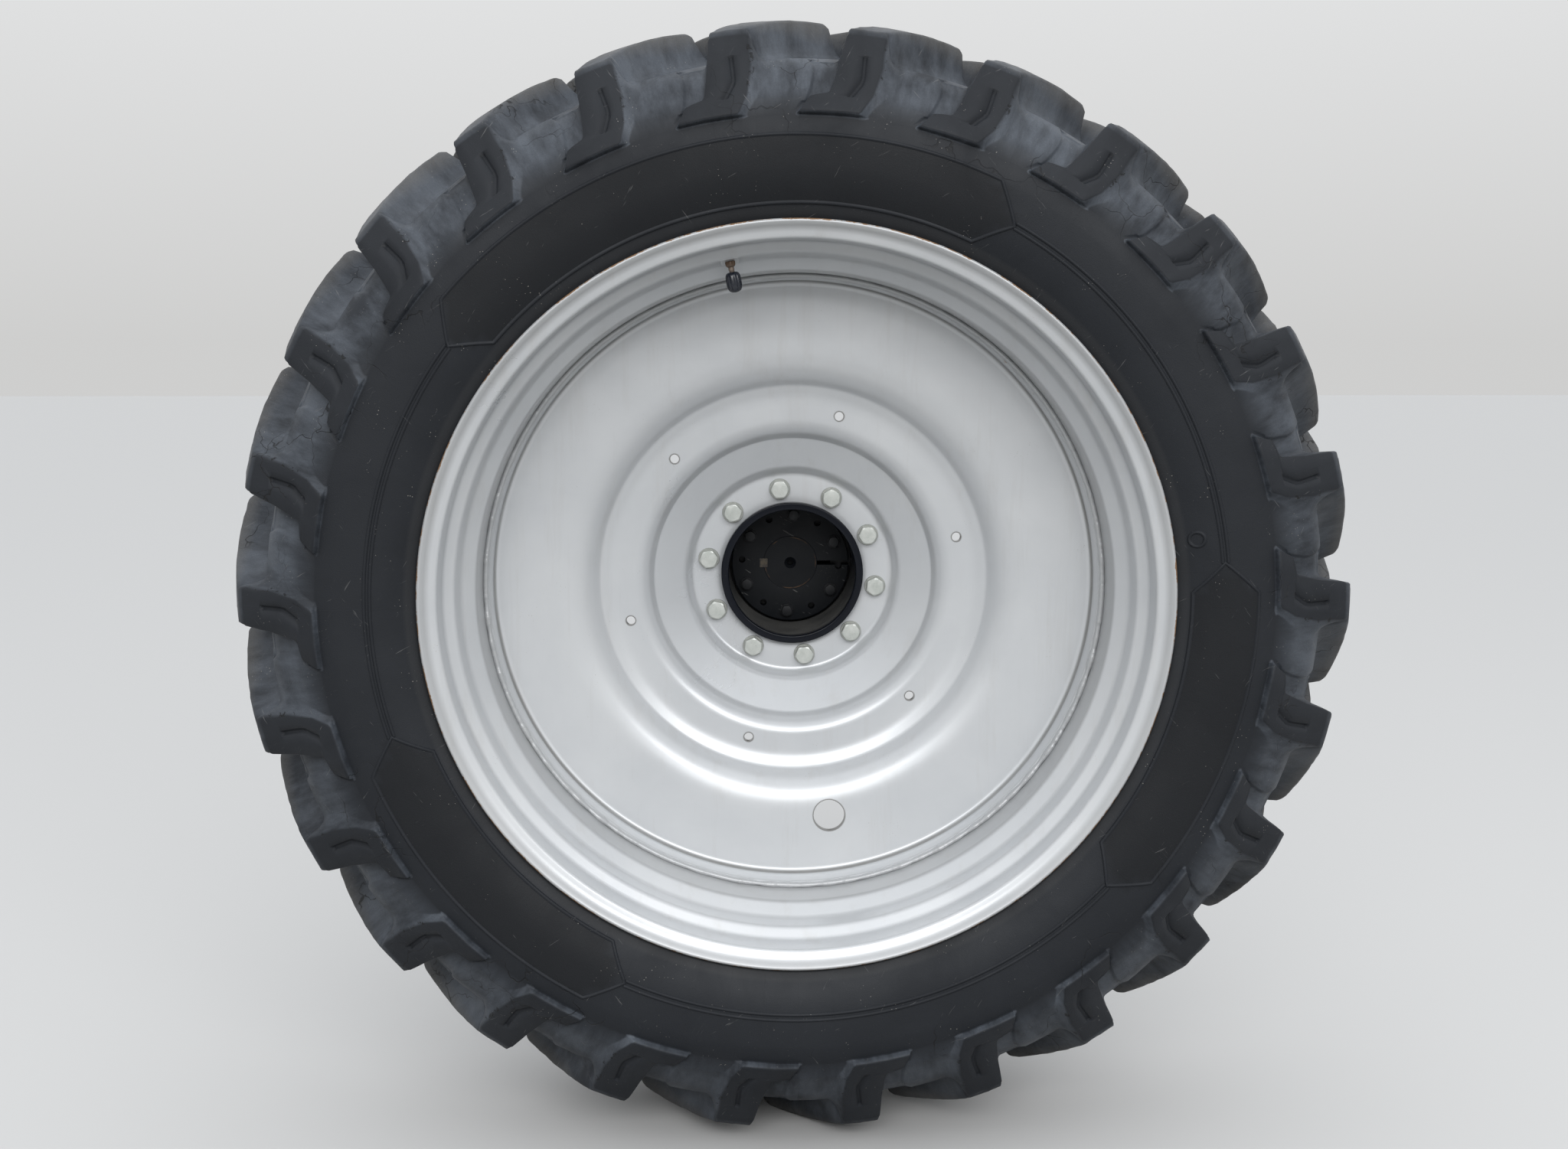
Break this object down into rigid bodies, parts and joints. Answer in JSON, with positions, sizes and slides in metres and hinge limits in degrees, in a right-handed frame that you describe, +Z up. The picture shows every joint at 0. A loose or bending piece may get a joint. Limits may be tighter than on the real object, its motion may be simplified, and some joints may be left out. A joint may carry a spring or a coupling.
{
  "type": "tractor rear wheel on its axle end",
  "caption": "Large lugged tractor rear wheel with a dished steel disc and a cast hub, clamped on a bar axle that turns in a bolted axle housing.",
  "frame": {"origin": "centre of the axle housing's bolted inboard face, on the wheel axis", "axes": "+Y inboard along the wheel axis, out of the housing's bolted face; +X to the tractor's front; +Z up"},
  "size_m": [2.024, 1.281, 2.024],
  "materials": {
    "tyre_rubber": "matt black rubber, greyer where it is worn or dusty",
    "rim_paint": "silver grey satin paint",
    "hub_black": "black satin paint over casting",
    "sleeve_steel": "dark painted machined face",
    "dark_steel": "oiled dark steel",
    "axle_steel": "ground bar, painted dark on its outer end",
    "key_steel": "bare steel with light rust",
    "zinc_bolt": "pale zinc plating",
    "valve_brass": "dull brass",
    "cap_plastic": "black moulded plastic",
    "housing_iron": "dark painted casting",
    "bearing_steel": "ground bearing steel",
    "seal_rubber": "black rubber"
  },
  "bodies": {
    "axle_housing": {"axle_housing": "housing_iron", "outer_bearing": "bearing_steel", "inner_bearing": "bearing_steel", "bearing_retainer": "housing_iron", "retainer_screws": "dark_steel", "axle_seal": "seal_rubber"},
    "wheel": {"tyre": "tyre_rubber", "rim": "rim_paint", "wheel_disc": "rim_paint", "hub_casting": "hub_black", "wedge_sleeve": "sleeve_steel", "sleeve_screws": "dark_steel", "axle_shaft": "axle_steel", "axle_key": "key_steel", "wheel_bolts": "zinc_bolt", "wheel_washers": "zinc_bolt", "valve_stem": "valve_brass", "valve_nut": "valve_brass", "valve_cap": "cap_plastic"}
  },
  "joints": [
    {"name": "wheel_spin", "type": "hinge", "parent": "axle_housing", "child": "wheel", "pos_m": [0, -0.971, 0], "axis": [0, 1, 0], "continuous": true}
  ]
}
